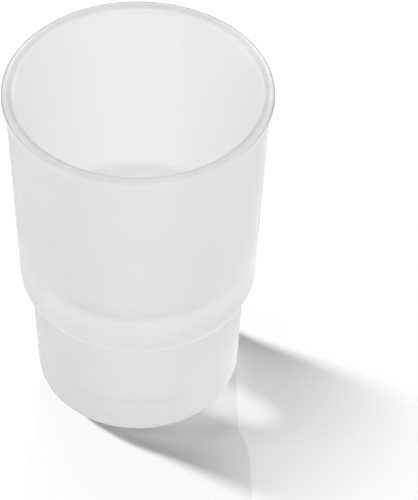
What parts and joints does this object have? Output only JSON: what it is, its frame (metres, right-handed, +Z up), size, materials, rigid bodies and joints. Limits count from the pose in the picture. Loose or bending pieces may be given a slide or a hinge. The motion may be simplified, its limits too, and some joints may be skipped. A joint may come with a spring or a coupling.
{
  "type": "bathroom tumbler",
  "caption": "Frosted glass tumbler: beaded lip, body leaning out, rounded shoulder, and a narrower foot that stands on a flat ring or drops through a holder's ring.",
  "frame": {"origin": "centre of the flat ring that the tumbler stands on", "axes": "+Z up the tumbler's axis, from the base to the mouth; X and Y are any two level directions, because the tumbler is round"},
  "size_m": [0.07, 0.07, 0.101],
  "materials": {
    "frosted_glass": "satin etched, inside and out"
  },
  "bodies": {
    "root": {"tumbler": "frosted_glass"}
  },
  "joints": []
}
